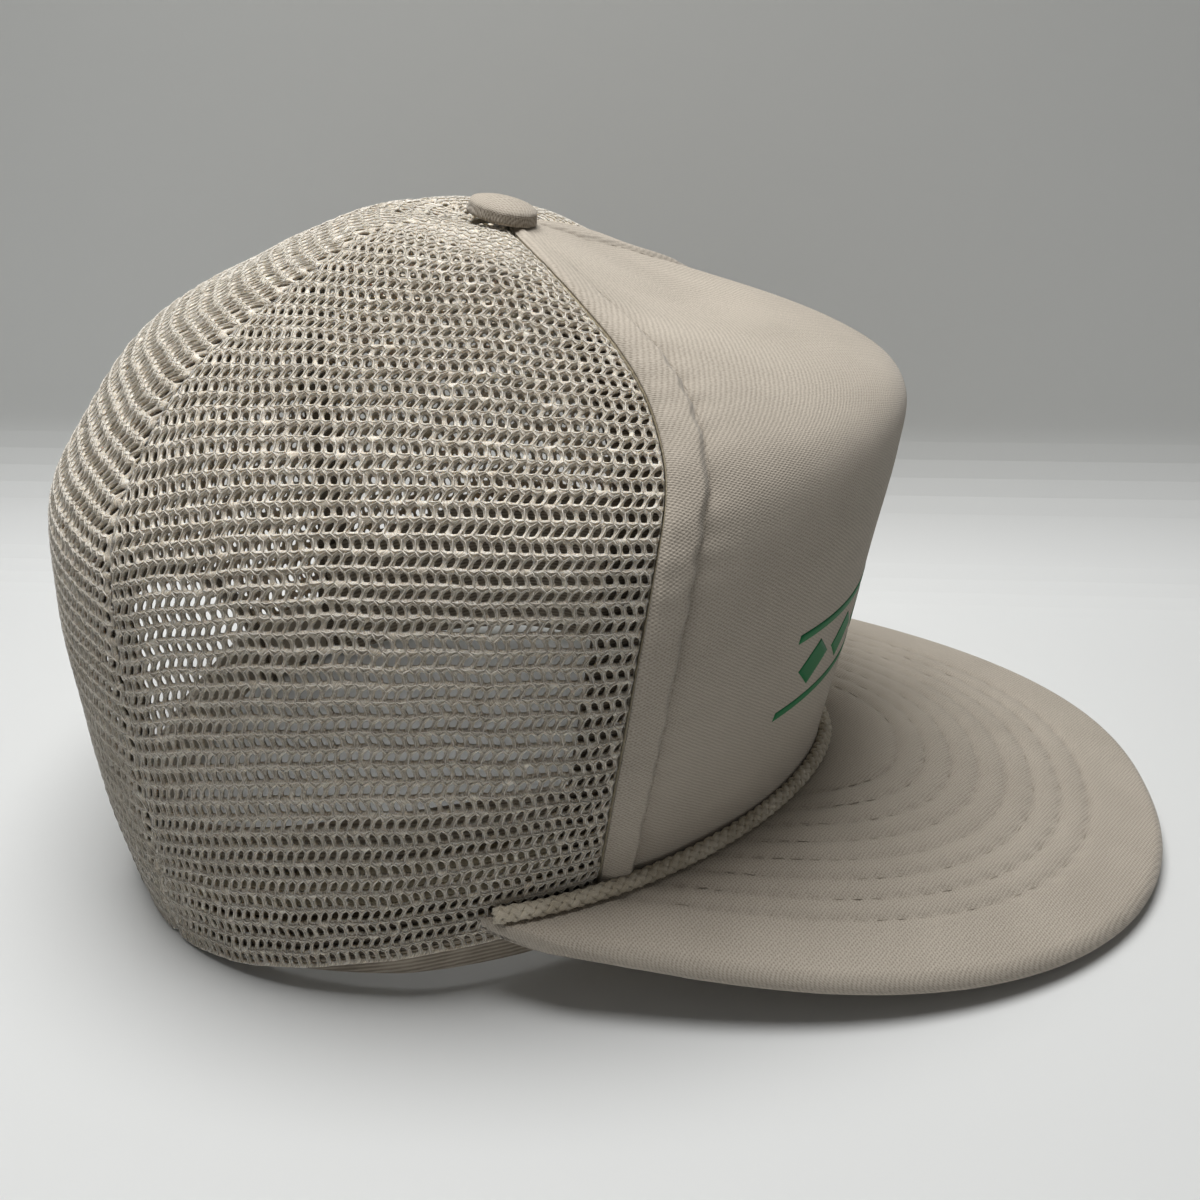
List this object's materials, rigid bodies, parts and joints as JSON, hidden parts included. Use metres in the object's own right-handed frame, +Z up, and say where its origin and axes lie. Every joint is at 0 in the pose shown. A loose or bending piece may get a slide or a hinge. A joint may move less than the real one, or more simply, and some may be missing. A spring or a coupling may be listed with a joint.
{
  "type": "trucker cap",
  "caption": "Trucker cap with a foam-backed front, mesh sides and back, stitched visor, rope trim and a snap strap across the rear opening.",
  "frame": {"origin": "on the rest plane under the crown, inside the head opening", "axes": "+Z up, the visor points to -Y, the wearer's left is +X"},
  "size_m": [0.167, 0.272, 0.1573],
  "materials": {
    "knit_fabric": "matte",
    "foam": "matte",
    "mesh_fabric": "matte",
    "tape": "matte",
    "band_cloth": "matte",
    "board_plastic": "matte",
    "rope_cord": "matte",
    "button_metal": "satin",
    "strap_plastic": "satin",
    "thread": "matte"
  },
  "bodies": {
    "cap": {"arch_binding": "tape", "button_cover": "knit_fabric", "button_rivet": "button_metal", "button_shell": "button_metal", "centre_seam_tape": "tape", "front_face_fabric": "knit_fabric", "front_foam": "foam", "front_seam_tape_left": "tape", "front_seam_tape_right": "tape", "hem_tape_left": "tape", "hem_tape_right": "tape", "hole_strap_tab": "strap_plastic", "rear_mesh_left": "mesh_fabric", "rear_mesh_right": "mesh_fabric", "rear_seam_tape_left": "tape", "rear_seam_tape_right": "tape", "rivet_washer": "button_metal", "rope": "rope_cord", "side_mesh_left": "mesh_fabric", "side_mesh_right": "mesh_fabric", "stud_strap_tab": "strap_plastic", "sweatband": "band_cloth", "sweatband_foam": "foam", "visor_board": "board_plastic", "visor_stitch_row_1": "thread", "visor_stitch_row_2": "thread", "visor_stitch_row_3": "thread", "visor_stitch_row_4": "thread", "visor_stitch_row_5": "thread", "visor_stitch_row_6": "thread", "visor_stitch_row_7": "thread", "visor_stitch_row_8": "thread", "visor_top_cover": "knit_fabric", "visor_under_cover": "knit_fabric"},
    "hole_leaf": {"hole_strap": "strap_plastic"},
    "stud_leaf": {"stud_strap": "strap_plastic"}
  },
  "joints": [
    {"name": "hole_leaf_swing", "type": "hinge", "parent": "cap", "child": "hole_leaf", "pos_m": [0.0436, 0.08864, 0.0115], "axis": [0, 0, -1], "range_deg": [0, 70]},
    {"name": "stud_leaf_swing", "type": "hinge", "parent": "cap", "child": "stud_leaf", "pos_m": [-0.0436, 0.087, 0.0115], "axis": [0, 0, -1], "range_deg": [0, 35]}
  ]
}
